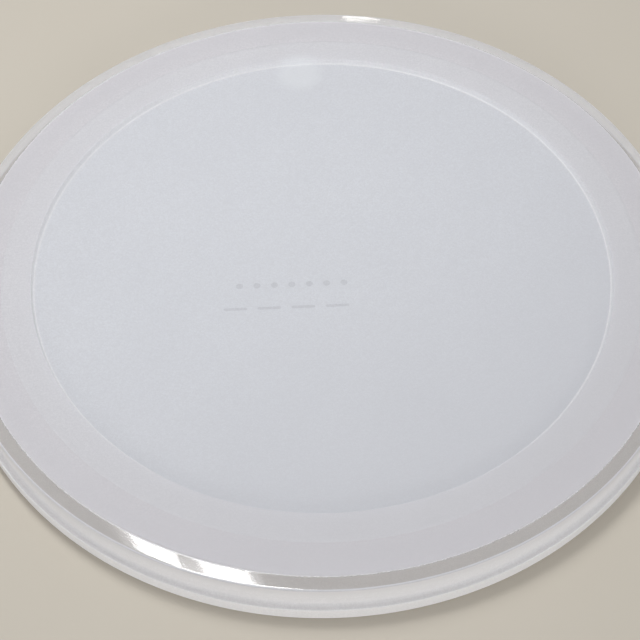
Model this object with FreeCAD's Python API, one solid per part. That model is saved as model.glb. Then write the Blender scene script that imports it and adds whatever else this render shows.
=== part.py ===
import FreeCAD, Part
import os
from math import radians, sin, cos, atan2, tan, degrees
from FreeCAD import Vector

os.makedirs("parts", exist_ok=True)

# Fused quartz plate, one ground piece, turned about the Z axis.
# Millimetres, +Z up, origin at the centre of the face it rests on.

# Overall sizes, with the thickness taken over the polished band at the rim
plate_thickness = 16.8
flange_diameter = 300.0
flange_height = 6.4
shoulder_diameter = 295.0

# Edges, and the corner between shoulder and flange
top_edge_radius = 0.6
ledge_fillet = 1.2
flange_edge_bevel = 0.4
foot_edge_bevel = 0.5

# Clear polished band round the rim, left a little proud by the blasting
band_inner_diameter = 283.6
band_height = 0.1
band_edge_run = 0.3

# Blasted margin, which falls slightly inward from the band to the land
margin_fall = 0.5

# Land round the recess, a low step up from the margin, which also falls slightly inward
land_diameter = 256.2
land_height = 0.2
land_edge_run = 1.0
land_fall = 0.55

# Wide recess in the middle of the top face, with a steep wall and a rounded foot
recess_diameter = 234.8
recess_depth = 2.5
recess_wall_run = 0.5
recess_foot_radius = 0.7

margin_outer_level = plate_thickness - band_height
margin_inner_level = margin_outer_level - margin_fall
land_outer_level = margin_inner_level + land_height
land_inner_level = land_outer_level - land_fall
floor_level = land_inner_level - recess_depth


def at(radius, height):
    return Vector(radius, 0, height)


def straight(points):
    return [Part.LineSegment(a, b).toShape() for a, b in zip(points, points[1:])]


def arc(start, end, centre, radius, toward):
    """Arc from start to end about centre, bulging toward the given angle in degrees."""
    angle = radians(toward)
    middle = centre + Vector(radius * cos(angle), 0, radius * sin(angle))
    return [Part.Arc(start, middle, end).toShape()]


def recess():
    """Recess floor, rounded foot and steep wall, from the axis out to the edge of the land."""
    edge_radius = recess_diameter / 2
    foot = edge_radius - recess_wall_run
    wall_angle = atan2(recess_depth, recess_wall_run)
    reach = recess_foot_radius * tan(wall_angle / 2)
    arc_start = at(foot - reach, floor_level)
    arc_end = at(foot + reach * cos(wall_angle), floor_level + reach * sin(wall_angle))
    centre = at(foot - reach, floor_level + recess_foot_radius)
    toward = degrees(wall_angle) / 2 - 90
    return (
        straight([at(0, floor_level), arc_start])
        + arc(arc_start, arc_end, centre, recess_foot_radius, toward)
        + straight([arc_end, at(edge_radius, land_inner_level)])
    )


def land_margin_and_band():
    """The ring-shaped faces between the recess and the rounded top edge."""
    recess_edge = recess_diameter / 2
    land_edge = land_diameter / 2
    band_start = band_inner_diameter / 2
    band_end = shoulder_diameter / 2 - top_edge_radius
    return straight([
        at(recess_edge, land_inner_level),
        at(land_edge, land_outer_level),
        at(land_edge + land_edge_run, margin_inner_level),
        at(band_start - band_edge_run, margin_outer_level),
        at(band_start, plate_thickness),
        at(band_end, plate_thickness),
    ])


def rim():
    """Rounded top edge, shoulder wall, filleted corner, flange ledge and flange wall."""
    shoulder = shoulder_diameter / 2
    flange = flange_diameter / 2
    round_start = at(shoulder - top_edge_radius, plate_thickness)
    round_end = at(shoulder, plate_thickness - top_edge_radius)
    round_centre = at(shoulder - top_edge_radius, plate_thickness - top_edge_radius)
    wall_end = at(shoulder, flange_height + ledge_fillet)
    ledge_start = at(shoulder + ledge_fillet, flange_height)
    fillet_centre = at(shoulder + ledge_fillet, flange_height + ledge_fillet)
    flange_wall = straight([
        ledge_start,
        at(flange - flange_edge_bevel, flange_height),
        at(flange, flange_height - flange_edge_bevel),
        at(flange, foot_edge_bevel),
        at(flange - foot_edge_bevel, 0),
    ])
    return (
        arc(round_start, round_end, round_centre, top_edge_radius, 45)
        + straight([round_end, wall_end])
        + arc(wall_end, ledge_start, fillet_centre, ledge_fillet, 225)
        + flange_wall
    )


def underside_and_axis():
    foot_edge = flange_diameter / 2 - foot_edge_bevel
    return straight([at(foot_edge, 0), at(0, 0), at(0, floor_level)])


def quartz_plate():
    section = Part.Wire(recess() + land_margin_and_band() + rim() + underside_and_axis())
    return Part.Face(section).revolve(Vector(0, 0, 0), Vector(0, 0, 1), 360)


plate = quartz_plate()
plate.exportStep("parts/quartz_plate.step")
print("quartz_plate", plate.ShapeType, "valid", plate.isValid(), "volume mm3", round(plate.Volume))
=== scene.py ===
import math

import bmesh
import bpy
from mathutils import Euler, Matrix, Vector


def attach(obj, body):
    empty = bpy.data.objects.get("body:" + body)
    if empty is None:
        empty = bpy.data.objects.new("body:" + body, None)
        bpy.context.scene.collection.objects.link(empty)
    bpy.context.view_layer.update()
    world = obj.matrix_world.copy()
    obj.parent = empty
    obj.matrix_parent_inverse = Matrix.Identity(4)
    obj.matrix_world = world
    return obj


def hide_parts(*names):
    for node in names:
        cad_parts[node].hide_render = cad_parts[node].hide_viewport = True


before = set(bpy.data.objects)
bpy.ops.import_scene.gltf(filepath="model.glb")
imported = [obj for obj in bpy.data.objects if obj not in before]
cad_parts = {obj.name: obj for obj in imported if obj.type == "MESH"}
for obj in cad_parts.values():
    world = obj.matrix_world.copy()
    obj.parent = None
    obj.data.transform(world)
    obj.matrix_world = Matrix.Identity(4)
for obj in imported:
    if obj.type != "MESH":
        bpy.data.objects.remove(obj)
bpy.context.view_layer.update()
mm = 0.001  # every size below is in millimetres
scene = bpy.context.scene
print("frame loaded")


# small helpers for node trees

def newMaterial(name):
    mat = bpy.data.materials.new(name)
    mat.use_nodes = True
    mat.node_tree.nodes.clear()
    return mat, mat.node_tree


def addNode(tree, kind, settings=None, **sockets):
    node = tree.nodes.new(kind)
    for key, value in (settings or {}).items():
        setattr(node, key, value)
    for key, value in sockets.items():
        name = key.replace("_", " ")
        if isinstance(value, bpy.types.NodeSocket):
            tree.links.new(value, node.inputs[name])
        else:
            node.inputs[name].default_value = value
    return node


def addNoise(tree, where, size, detail=3.0, roughness=0.55):
    # size is how wide one patch of the noise is, in millimetres
    return addNode(tree, "ShaderNodeTexNoise", Vector=where, Scale=1 / (size * mm), Detail=detail,
                   Roughness=roughness).outputs["Fac"]


def remap(tree, value, low, high, outLow, outHigh, soft=False):
    node = addNode(tree, "ShaderNodeMapRange", Value=value)
    if soft:
        node.interpolation_type = "SMOOTHSTEP"
    for name, number in (("From Min", low), ("From Max", high), ("To Min", outLow), ("To Max", outHigh)):
        node.inputs[name].default_value = number
    return node.outputs["Result"]


def reckon(tree, operation, first, second):
    node = addNode(tree, "ShaderNodeMath", {"operation": operation})
    for socket, value in zip(node.inputs, (first, second)):
        if isinstance(value, bpy.types.NodeSocket):
            tree.links.new(value, socket)
        else:
            socket.default_value = value
    return node.outputs[0]


def blend(tree, share, first, second):
    node = tree.nodes.new("ShaderNodeMix")
    node.data_type = "RGBA"
    for socket, value in ((node.inputs[0], share), (node.inputs[6], first), (node.inputs[7], second)):
        if isinstance(value, bpy.types.NodeSocket):
            tree.links.new(value, socket)
        else:
            socket.default_value = value
    return node.outputs[2]


def stretched(tree, where, across, up):
    # squeezes the pattern so that it runs in long lines round the plate
    place = addNode(tree, "ShaderNodeMapping", Vector=where)
    place.inputs["Scale"].default_value = (across, across, up)
    return place.outputs["Vector"]


def fromAxis(tree, where):
    # distance from the turning axis in millimetres
    flat = addNode(tree, "ShaderNodeVectorMath", {"operation": "MULTIPLY"}, Vector=where)
    flat.inputs[1].default_value = (1, 1, 0)
    length = addNode(tree, "ShaderNodeVectorMath", {"operation": "LENGTH"}, Vector=flat.outputs["Vector"])
    return reckon(tree, "MULTIPLY", length.outputs["Value"], 1 / mm)


def heightOf(tree, where):
    parts = addNode(tree, "ShaderNodeSeparateXYZ", Vector=where)
    return reckon(tree, "MULTIPLY", parts.outputs["Z"], 1 / mm)


# blasted quartz: milky, matt, with a fine even grain, very faint clouds and painted shade

quartzIor = 1.458

blastedLook = {
    "pale": (0.873, 0.896, 0.944, 1),
    "dull": (0.853, 0.876, 0.924, 1),
    # the darker colour below is used for specks, dust and grinding lines, and painted shade darkens towards
    # it too
    "speckAndShade": (0.762, 0.775, 0.818, 1),
    "cloudSize": 45.0,
    "speckSize": 1.0, "speckShare": 0.55,
    "dustSize": 0.42, "dustShare": 0.65,
    "grainSize": 0.35, "grainHeight": 0.020,  # millimetres
    "roughness": 0.52, "roughDrift": 0.03,
    "sheen": 0.2, "passesLight": 0.5,
    "lines": 0.0,  # how strongly grinding lines run round a wall
    "lineStretch": 0.02, "lineSize": 0.7, "ridgeSize": 0.35, "ridgeShare": 0.6,
    "fade": None,  # painted shade: where a wall or ring gets darker as less light reaches it from inside; radius or height, from, to, share
    "drift": (0.5, -0.87, -20.0, 125.0, 0.7),  # painted shade: a touch darker towards the near side, where less light falls; x, y, from, to, share
    # a paler, bluish round patch on the far side by the recess wall
    "paleSpot": (-9.3, 110.0), "spotColour": (0.94, 0.97, 1.0, 1),
    "spotCore": 0.4, "spotReach": 13.5, "spotShare": 0.45,
}


def blastedColour(tree, where, look):
    clouds = remap(tree, addNoise(tree, where, look["cloudSize"], 4.0), 0.35, 0.65, 0.0, 1.0)
    colour = blend(tree, clouds, look["dull"], look["pale"])
    # painted shade: the colour darkens towards the near side, where less light falls
    if look["drift"]:
        x, y, start, end, share = look["drift"]
        parts = addNode(tree, "ShaderNodeSeparateXYZ", Vector=where)
        along = reckon(tree, "ADD", reckon(tree, "MULTIPLY", parts.outputs["X"], x / mm),
                       reckon(tree, "MULTIPLY", parts.outputs["Y"], y / mm))
        colour = blend(tree, remap(tree, along, start, end, 0.0, share, True), colour, look["speckAndShade"])
    specks = addNoise(tree, where, look["speckSize"], 2.0, 0.6)
    colour = blend(tree, remap(tree, specks, 0.36, 0.64, 0.0, look["speckShare"]), colour, look["speckAndShade"])
    dust = addNoise(tree, where, look["dustSize"], 1.0, 0.5)
    colour = blend(tree, remap(tree, dust, 0.35, 0.65, 0.0, look["dustShare"]), colour, look["speckAndShade"])
    # painted shade: a wall or ring darkens along its radius or height, where less light reaches it from
    # inside
    if look["fade"]:
        measure, start, end, share = look["fade"]
        along = fromAxis(tree, where) if measure == "radius" else heightOf(tree, where)
        colour = blend(tree, remap(tree, along, start, end, 0.0, share, True), colour, look["speckAndShade"])
    if look["lines"]:
        ringing = addNoise(tree, stretched(tree, where, look["lineStretch"], 1.0), look["lineSize"], 3.0, 0.6)
        colour = blend(tree, remap(tree, ringing, 0.35, 0.75, 0.0, look["lines"]), colour, look["speckAndShade"])
    return clouds, colour


def blastedQuartz(name, **changes):
    look = {**blastedLook, **changes}
    mat, tree = newMaterial(name)
    where = addNode(tree, "ShaderNodeTexCoord").outputs["Object"]
    clouds, colour = blastedColour(tree, where, look)
    if look["paleSpot"]:
        x, y = look["paleSpot"]
        away = addNode(tree, "ShaderNodeVectorMath", {"operation": "SUBTRACT"}, Vector=where)
        away.inputs[1].default_value = (x * mm, y * mm, 0)
        share = remap(tree, fromAxis(tree, away.outputs["Vector"]), look["spotReach"] * look["spotCore"],
                      look["spotReach"], look["spotShare"], 0.0, True)
        colour = blend(tree, share, colour, look["spotColour"])
    grain = addNoise(tree, where, look["grainSize"], 2.0, 0.7)
    if look["lines"]:
        ridges = addNoise(tree, stretched(tree, where, look["lineStretch"], 1.0), look["ridgeSize"], 2.0, 0.6)
        grain = reckon(tree, "ADD", grain, reckon(tree, "MULTIPLY", ridges, look["ridgeShare"]))
    bump = addNode(tree, "ShaderNodeBump", Height=grain, Strength=1.0, Distance=look["grainHeight"] * mm)
    rough = remap(tree, clouds, 0.0, 1.0, look["roughness"] + look["roughDrift"],
                  look["roughness"] - look["roughDrift"])
    matt = addNode(tree, "ShaderNodeBsdfPrincipled", Base_Color=colour, Roughness=rough, IOR=quartzIor,
                   Specular_IOR_Level=look["sheen"], Normal=bump.outputs["Normal"])
    milky = addNode(tree, "ShaderNodeBsdfTranslucent", Color=colour, Normal=bump.outputs["Normal"])
    both = addNode(tree, "ShaderNodeMixShader", Fac=look["passesLight"])
    tree.links.new(matt.outputs[0], both.inputs[1])
    tree.links.new(milky.outputs[0], both.inputs[2])
    out = addNode(tree, "ShaderNodeOutputMaterial")
    tree.links.new(both.outputs[0], out.inputs["Surface"])
    return mat


# polished quartz: clear, with the faint haze of the polishing
# its inner edge is frosted where the blasting ran over it

polishedLook = {
    "clear": (0.985, 0.985, 0.98, 1), "hazed": (0.955, 0.955, 0.945, 1),
    "hazeSize": 6.0, "roughLow": 0.03, "roughHigh": 0.065,
    "clearShare": 0.88,  # how much of the light goes straight through
    "milk": 0.1,  # how much glows from inside
    "frostFrom": 141.75, "frostTo": 142.5,  # millimetres from the axis
    "frostWander": 0.5, "wanderSize": 1.3,
    "frostRough": 0.5, "shine": 0.5,
}


def polishedQuartz(name):
    look = polishedLook
    mat, tree = newMaterial(name)
    where = addNode(tree, "ShaderNodeTexCoord").outputs["Object"]
    # the frosted rim takes the margin's colour, painted shade towards the near side included
    _, frosted = blastedColour(tree, where, {**blastedLook, **marginTone})
    haze = remap(tree, addNoise(tree, where, look["hazeSize"], 3.0), 0.3, 0.7, 0.0, 1.0)
    clear = blend(tree, haze, look["clear"], look["hazed"])
    swing = look["frostWander"] / 2
    wander = remap(tree, addNoise(tree, where, look["wanderSize"], 3.0, 0.6), 0.25, 0.75, -swing, swing)
    edge = reckon(tree, "ADD", fromAxis(tree, where), wander)
    polish = remap(tree, edge, look["frostFrom"], look["frostTo"], 0.0, 1.0, True)
    rough = remap(tree, haze, 0.0, 1.0, look["roughLow"], look["roughHigh"])
    rough = reckon(tree, "MAXIMUM", rough, remap(tree, polish, 0.0, 1.0, look["frostRough"], 0.0))
    glass = addNode(tree, "ShaderNodeBsdfPrincipled", Base_Color=blend(tree, polish, frosted, clear),
                    Roughness=rough, IOR=quartzIor,
                    Transmission_Weight=reckon(tree, "MULTIPLY", polish, look["clearShare"]),
                    Specular_IOR_Level=remap(tree, polish, 0.0, 1.0, blastedLook["sheen"], look["shine"]))
    milky = addNode(tree, "ShaderNodeBsdfTranslucent", Color=frosted)
    glow = remap(tree, polish, 0.0, 1.0, blastedLook["passesLight"], look["milk"])
    both = addNode(tree, "ShaderNodeMixShader", Fac=glow)
    tree.links.new(glass.outputs[0], both.inputs[1])
    tree.links.new(milky.outputs[0], both.inputs[2])
    out = addNode(tree, "ShaderNodeOutputMaterial")
    tree.links.new(both.outputs[0], out.inputs["Surface"])
    return mat


# the plate, turned from its ground section

plateSizes = {
    "thickness": 16.8,  # over the polished band
    "bandInner": 141.8, "bandHeight": 0.1, "bandEdgeRun": 0.3,
    "marginFall": 0.5,
    "landRadius": 128.1, "landHeight": 0.2, "landEdgeRun": 1.0, "landFall": 0.55,
    "recessRadius": 117.4, "recessDepth": 2.5, "recessWallRun": 0.5, "recessFoot": 0.7,
    "shoulderRadius": 147.5, "flangeRadius": 149.95, "flangeHeight": 6.4,
    "topRound": 0.6, "ledgeFillet": 1.2, "flangeRound": 0.4, "footRound": 0.5,
    "softCorner": 0.22, "landSoftness": 0.45,  # the small corners that grinding leaves
    "around": 512, "arcSteps": 6, "support": 0.35,
}


def plateLevels(s):
    marginOuter = s["thickness"] - s["bandHeight"]
    marginInner = marginOuter - s["marginFall"]
    landOuter = marginInner + s["landHeight"]
    landInner = landOuter - s["landFall"]
    return landInner - s["recessDepth"], landInner, landOuter, marginInner, marginOuter


def plateCorners(s):
    # radius, height, corner radius, surface of the corner, surface of the run after it
    floor, landInner, landOuter, marginInner, marginOuter = plateLevels(s)
    soft, landSoft = s["softCorner"], s["landSoftness"]
    return [
        (s["recessRadius"] - s["recessWallRun"], floor, s["recessFoot"], "recessWall", "recessWall"),
        (s["recessRadius"], landInner, soft, "land", "land"),
        (s["landRadius"], landOuter, landSoft, "land", "land"),
        (s["landRadius"] + s["landEdgeRun"], marginInner, landSoft, "margin", "margin"),
        (s["bandInner"] - s["bandEdgeRun"], marginOuter, soft / 4, "margin", "polished"),
        (s["bandInner"], s["thickness"], soft / 4, "polished", "polished"),
        (s["shoulderRadius"], s["thickness"], s["topRound"], "edge", "shoulder"),
        (s["shoulderRadius"], s["flangeHeight"], s["ledgeFillet"], "ledge", "ledge"),
        (s["flangeRadius"], s["flangeHeight"], s["flangeRound"], "flange", "flange"),
        (s["flangeRadius"], 0.0, s["footRound"], "flange", "underside"),
    ]


def roundedSection(s):
    # (radius, height, surface of the run that ends here) for each ring of the turned mesh
    corners = plateCorners(s)
    flat = [Vector((0, corners[0][1]))] + [Vector(c[:2]) for c in corners] + [Vector((0, 0))]
    rings = []
    surface = "blasted"
    for i, (_, _, radius, cornerSurface, nextSurface) in enumerate(corners):
        here = flat[i + 1]
        back, ahead = (flat[i] - here).normalized(), (flat[i + 2] - here).normalized()
        half = back.angle(ahead) / 2
        reach = radius / math.tan(half)
        centre = here + (back + ahead).normalized() * (radius / math.sin(half))
        start, end = here + back * reach, here + ahead * reach
        if (flat[i] - here).length > 4 * s["support"] + reach:
            rings.append((*(start + back * s["support"]), surface))
        rings.append((*start, surface))
        turn = (start - centre).angle_signed(end - centre)
        for k in range(1, s["arcSteps"] + 1):
            spoke = (start - centre).copy()
            spoke.rotate(Matrix.Rotation(-turn * k / s["arcSteps"], 2))
            rings.append((*(centre + spoke), cornerSurface))
        if (flat[i + 2] - here).length > 4 * s["support"] + reach:
            rings.append((*(end + ahead * s["support"]), nextSurface))
        surface = nextSurface
    return rings


# plain marks ground faintly into the recess: a row of round dots over a row of longer bars

markSizes = {
    "middle": (-12.0, -18.5), "turn": 2.0,  # where the block of marks lies, and its slant in degrees
    "rowGap": 11.5, "rowShift": -2.5,
    "dots": 7, "dotPitch": 7.0, "dotRadius": 1.4, "dotSides": 28,
    "bars": 4, "barPitch": 13.5, "barLength": 9.5, "barWidth": 1.3,
    "depth": 0.06,
}


def markOutlines(m):
    outlines = []
    for k in range(m["dots"]):
        x = (k - (m["dots"] - 1) / 2) * m["dotPitch"]
        steps = [2 * math.pi * j / m["dotSides"] for j in range(m["dotSides"])]
        outlines.append([(x + m["dotRadius"] * math.cos(a), m["rowGap"] / 2 + m["dotRadius"] * math.sin(a))
                         for a in steps])
    for k in range(m["bars"]):
        x = (k - (m["bars"] - 1) / 2) * m["barPitch"] + m["rowShift"]
        long, wide = (m["barLength"] - m["barWidth"]) / 2, m["barWidth"] / 2
        ends = [(x + long, math.radians(a)) for a in (-90, -45, 0, 45, 90)]
        ends += [(x - long, math.radians(a)) for a in (90, 135, 180, 225, 270)]
        outlines.append([(cx + wide * math.cos(a), -m["rowGap"] / 2 + wide * math.sin(a)) for cx, a in ends])
    place = Matrix.Rotation(math.radians(m["turn"]), 2)
    return [[Vector(m["middle"]) + place @ Vector(point) for point in outline] for outline in outlines]


def turnPlate(s, m, materials):
    order = list(materials)
    rings = roundedSection(s)
    floor = plateLevels(s)[0]
    bm = bmesh.new()
    angles = [2 * math.pi * k / s["around"] for k in range(s["around"])]
    loops = [[bm.verts.new((r * math.cos(a) * mm, r * math.sin(a) * mm, z * mm)) for a in angles]
             for r, z, _ in rings]
    for (inner, outer), (_, _, surface) in zip(zip(loops, loops[1:]), rings[1:]):
        for k in range(s["around"]):
            j = (k + 1) % s["around"]
            face = bm.faces.new((inner[k], outer[k], outer[j], inner[j]))
            face.material_index = order.index(surface)
            face.smooth = True
    bottom = bm.faces.new(list(reversed(loops[-1])))
    bottom.material_index = order.index("underside")

    edges = [bm.edges.get((loops[0][k], loops[0][(k + 1) % s["around"]])) for k in range(s["around"])]
    for outline in markOutlines(m):
        top = [bm.verts.new((p.x * mm, p.y * mm, floor * mm)) for p in outline]
        low = [bm.verts.new((p.x * mm, p.y * mm, (floor - m["depth"]) * mm)) for p in outline]
        count = len(outline)
        for k in range(count):
            j = (k + 1) % count
            wall = bm.faces.new((top[j], top[k], low[k], low[j]))
            wall.material_index = order.index("mark")
            edges.append(bm.edges.get((top[k], top[j])))
        sunken = bm.faces.new(low)
        sunken.material_index = order.index("mark")
    made = bmesh.ops.triangle_fill(bm, use_beauty=True, use_dissolve=False, edges=edges, normal=(0, 0, 1))
    for face in made["geom"]:
        if isinstance(face, bmesh.types.BMFace):
            face.material_index = order.index("blasted")
            if face.normal.z < 0:
                face.normal_flip()
    bmesh.ops.recalc_face_normals(bm, faces=bm.faces)
    mesh = bpy.data.meshes.new("quartzPlate")
    bm.to_mesh(mesh)
    bm.free()
    for mat in materials.values():
        mesh.materials.append(mat)
    plate = bpy.data.objects.new("quartzPlate", mesh)
    scene.collection.objects.link(plate)
    return plate


def tone(pale, dull, speckAndShade, **more):
    return {"pale": (*pale, 1), "dull": (*dull, 1), "speckAndShade": (*speckAndShade, 1), **more}


landTone = tone((0.87, 0.87, 0.905), (0.85, 0.85, 0.885), (0.755, 0.755, 0.79))
marginTone = tone((0.855, 0.845, 0.88), (0.835, 0.825, 0.86), (0.74, 0.73, 0.765))
# the recess wall is paler than the land: partly its finer grinding, partly painted light for the glow of the
# quartz behind it
recessWallTone = tone((0.91, 0.915, 0.94), (0.89, 0.895, 0.92), (0.80, 0.805, 0.83), drift=None)
# the shoulder, ledge and flange are paler than the faces: partly their ground finish, partly painted light
# for the glow that comes out through them
wallTone = tone((0.97, 0.965, 0.975), (0.95, 0.945, 0.955), (0.86, 0.855, 0.865), drift=None, paleSpot=None)
# the underside's warm tint is painted light: the brown of the table coming up through the plate, not a colour
# of the quartz
undersideTone = tone((0.88, 0.85, 0.82), (0.86, 0.83, 0.80), (0.77, 0.74, 0.71), drift=None, paleSpot=None)
markTone = tone((0.775, 0.79, 0.835), (0.745, 0.76, 0.805), (0.67, 0.685, 0.725), drift=None, paleSpot=None)

finishes = {
    "blasted": blastedQuartz("blastedFace"),
    "recessWall": blastedQuartz("recessWall", **recessWallTone, roughness=0.6, sheen=0.1, passesLight=0.38),
    "land": blastedQuartz("blastedLand", **landTone),
    # painted shade: the margin darkens towards the polished band, where less light is left inside the quartz
    "margin": blastedQuartz("blastedMargin", **marginTone, fade=("radius", 130.0, 138.0, 0.4)),
    "polished": polishedQuartz("polishedBand"),
    "edge": blastedQuartz("groundEdge", **landTone, roughness=0.35, passesLight=0.45, paleSpot=None),
    # painted shade: the upper part of the shoulder darkens, where less light comes out through it from inside
    "shoulder": blastedQuartz("groundShoulder", **wallTone, roughness=0.42, passesLight=0.35, lines=0.35,
                              fade=("height", 11.0, 15.0, 1.0)),
    "ledge": blastedQuartz("groundLedge", **wallTone, passesLight=0.4),
    "flange": blastedQuartz("groundFlange", **wallTone, roughness=0.42, passesLight=0.2, lines=0.35),
    "underside": blastedQuartz("groundUnderside", **undersideTone, passesLight=0.4),
    "mark": blastedQuartz("groundMark", **markTone),
}
plate = turnPlate(plateSizes, markSizes, finishes)
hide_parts("quartz_plate")
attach(plate, "root")
print("plate turned:", len(plate.data.vertices), "points,", len(plate.data.polygons), "faces")


# plain pale floor

floorSizes = {
    "side": 3600.0, "below": 0.15,
    "pale": (0.535, 0.49, 0.42, 1), "dull": (0.515, 0.47, 0.40, 1),
    "patch": 60.0, "roughness": 0.8,
}


def layFloor(f):
    mat, tree = newMaterial("floorPaper")
    where = addNode(tree, "ShaderNodeTexCoord").outputs["Object"]
    colour = blend(tree, addNoise(tree, where, f["patch"], 5.0), f["dull"], f["pale"])
    matt = addNode(tree, "ShaderNodeBsdfPrincipled", Base_Color=colour, Roughness=f["roughness"])
    seeThrough = addNode(tree, "ShaderNodeBsdfTransparent")
    behind = addNode(tree, "ShaderNodeNewGeometry").outputs["Backfacing"]
    both = addNode(tree, "ShaderNodeMixShader", Fac=behind)  # seen from below the floor is open
    tree.links.new(matt.outputs[0], both.inputs[1])
    tree.links.new(seeThrough.outputs[0], both.inputs[2])
    out = addNode(tree, "ShaderNodeOutputMaterial")
    tree.links.new(both.outputs[0], out.inputs["Surface"])
    half = f["side"] / 2 * mm
    mesh = bpy.data.meshes.new("floor")
    corners = [(-half, -half, 0), (half, -half, 0), (half, half, 0), (-half, half, 0)]
    mesh.from_pydata(corners, [], [(0, 1, 2, 3)])
    mesh.materials.append(mat)
    floor = bpy.data.objects.new("floor", mesh)
    floor.location.z = -f["below"] * mm
    scene.collection.objects.link(floor)


layFloor(floorSizes)
print("floor laid")


# soft studio light: the polished band mirrors two narrow strips with a glow round them, and a small far lamp
# a soft lamp above and a wide one in front light the rest

lampRows = {
    # place, width and length, turn about its own axis (None points it at the plate), power, colour
    "stripLeft": ((-186, 310, 900), (34, 350), 28, 0.95, (1.0, 1.0, 1.0)),
    "stripRight": ((-111, 288, 900), (41, 350), 28, 1.12, (1.0, 1.0, 1.0)),
    "stripGlow": ((-146, 299, 902), (115, 350), 28, 0.45, (1.0, 1.0, 1.0)),
    "farSpot": ((65, 1213, 900), (52, 24), None, 0.085, (1.0, 0.98, 0.93)),
    "softAbove": ((-85, 30, 500), (90, 90), None, 0.68, (0.965, 0.985, 1.0)),
    "softFront": ((200, -2900, 900), (2600, 900), None, 27.0, (1.0, 0.985, 0.97)),
}


def hangLamps(rows):
    for name, (place, (wide, long), turn, power, colour) in rows.items():
        lamp = bpy.data.lights.new(name, "AREA")
        lamp.shape = "RECTANGLE"
        lamp.size, lamp.size_y = wide * mm, long * mm
        lamp.energy = power
        lamp.color = colour
        holder = bpy.data.objects.new(name, lamp)
        spot = Vector(place) * mm
        holder.location = spot
        if turn is None:
            holder.rotation_euler = (-spot).to_track_quat("-Z", "Y").to_euler()
        else:
            holder.rotation_euler = Euler((0, 0, math.radians(turn)))
        holder.visible_camera = False
        scene.collection.objects.link(holder)


hangLamps(lampRows)

worldLook = {"colour": (0.96, 0.98, 1.0, 1), "strength": 0.56, "seen": (0.93, 0.93, 0.92, 1)}


def surroundings(w):
    world = bpy.data.worlds.new("studio")
    scene.world = world
    world.use_nodes = True
    tree = world.node_tree
    tree.nodes.clear()
    light = addNode(tree, "ShaderNodeBackground", Color=w["colour"], Strength=w["strength"])
    seen = addNode(tree, "ShaderNodeBackground", Color=w["seen"], Strength=1.0)
    path = addNode(tree, "ShaderNodeLightPath")
    looked = reckon(tree, "MAXIMUM", path.outputs["Is Camera Ray"], path.outputs["Is Glossy Ray"])
    looked = reckon(tree, "MAXIMUM", looked, path.outputs["Is Transmission Ray"])
    both = addNode(tree, "ShaderNodeMixShader", Fac=looked)
    tree.links.new(light.outputs[0], both.inputs[1])
    tree.links.new(seen.outputs[0], both.inputs[2])
    out = addNode(tree, "ShaderNodeOutputWorld")
    tree.links.new(both.outputs[0], out.inputs["Surface"])


surroundings(worldLook)
scene.view_settings.view_transform = "Standard"
print("lamps hung")


# camera at the photograph's place, as if hand held over the table

cameraPlace = {
    "back": 333.4, "up": 418.5,
    "down": 53.247, "turn": 0.199, "roll": -0.913,  # degrees
    "lens": 72.312, "sensor": 36.0,
}


def placeCamera(c):
    data = bpy.data.cameras.new("camera")
    data.sensor_width = c["sensor"]
    data.lens = c["lens"]
    camera = bpy.data.objects.new("camera", data)
    aim = Matrix.Rotation(math.radians(c["turn"]), 3, "Z")
    aim = aim @ Matrix.Rotation(math.radians(90 - c["down"]), 3, "X")
    aim = aim @ Matrix.Rotation(math.radians(c["roll"]), 3, "Z")
    camera.rotation_euler = aim.to_euler()
    camera.location = (0, -c["back"] * mm, c["up"] * mm)
    scene.collection.objects.link(camera)
    scene.camera = camera


placeCamera(cameraPlace)
print("camera placed")
